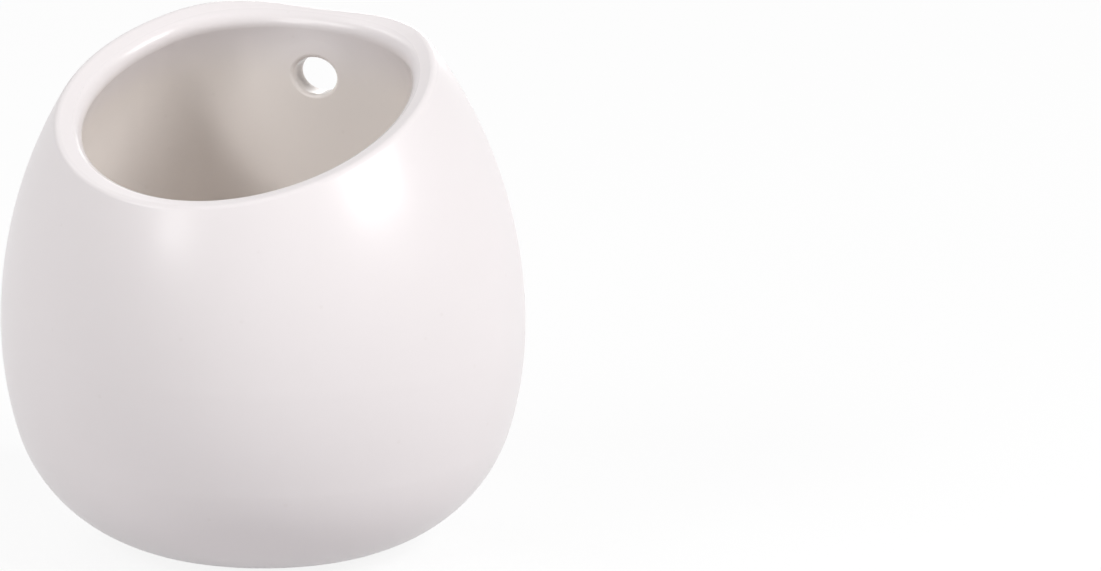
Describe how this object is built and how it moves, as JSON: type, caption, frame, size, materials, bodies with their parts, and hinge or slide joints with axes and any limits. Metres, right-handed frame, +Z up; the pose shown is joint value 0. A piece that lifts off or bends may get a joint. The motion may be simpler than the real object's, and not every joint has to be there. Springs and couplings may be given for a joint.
{
  "type": "hanging wall vase",
  "caption": "Egg-shaped ceramic wall vase with a flat back, an oval hanging hole high in the back wall, a mouth scooped low in front, and a bare foot to stand on.",
  "frame": {"origin": "centre of the hanging hole on the plane of the flat back, which is the wall plane", "axes": "+Y into the wall, +Z up, +X to the right of someone who faces the vase"},
  "size_m": [0.105, 0.0792, 0.1029],
  "materials": {
    "fired_clay": "matte",
    "satin_glaze": "satin",
    "liner_glaze": "gloss"
  },
  "bodies": {
    "root": {"clay_body": "fired_clay", "outer_glaze": "satin_glaze", "inner_glaze": "liner_glaze"}
  },
  "joints": []
}
